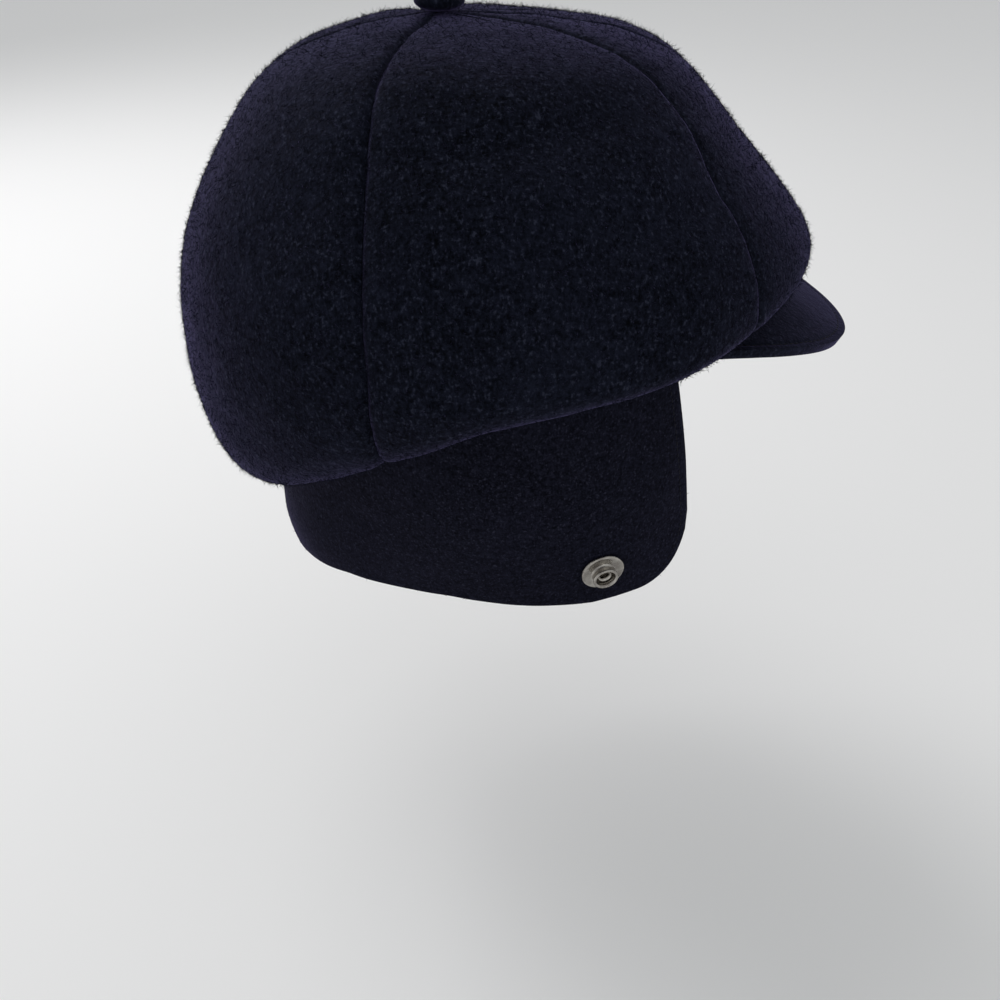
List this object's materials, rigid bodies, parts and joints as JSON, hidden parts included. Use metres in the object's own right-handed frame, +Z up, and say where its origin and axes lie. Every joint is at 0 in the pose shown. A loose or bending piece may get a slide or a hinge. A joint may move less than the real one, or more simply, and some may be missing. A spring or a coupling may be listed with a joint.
{
  "type": "earflap cap",
  "caption": "Panelled wool cap in its worn form, with a covered button, a short peak and an ear and neck flap with press studs.",
  "frame": {"origin": "centre of the head opening, in the plane of its edge", "axes": "+X forward over the peak, +Y to the wearer's left, +Z up as worn; the opening's plane rises 16 degrees to the front"},
  "size_m": [0.2392, 0.2031, 0.2005],
  "materials": {
    "crown_wool": "brushed wool with a short nap",
    "flap_felt": "smooth felt",
    "stud_metal": "polished nickel"
  },
  "bodies": {
    "root": {"panel_front_left": "crown_wool", "panel_side_left": "crown_wool", "panel_back_left": "crown_wool", "panel_back_right": "crown_wool", "panel_side_right": "crown_wool", "panel_front_right": "crown_wool", "button": "crown_wool", "peak": "crown_wool", "earflap": "flap_felt", "snap_stud_right": "stud_metal", "snap_stud_left": "stud_metal", "snap_post_right": "stud_metal", "snap_post_left": "stud_metal"}
  },
  "joints": []
}
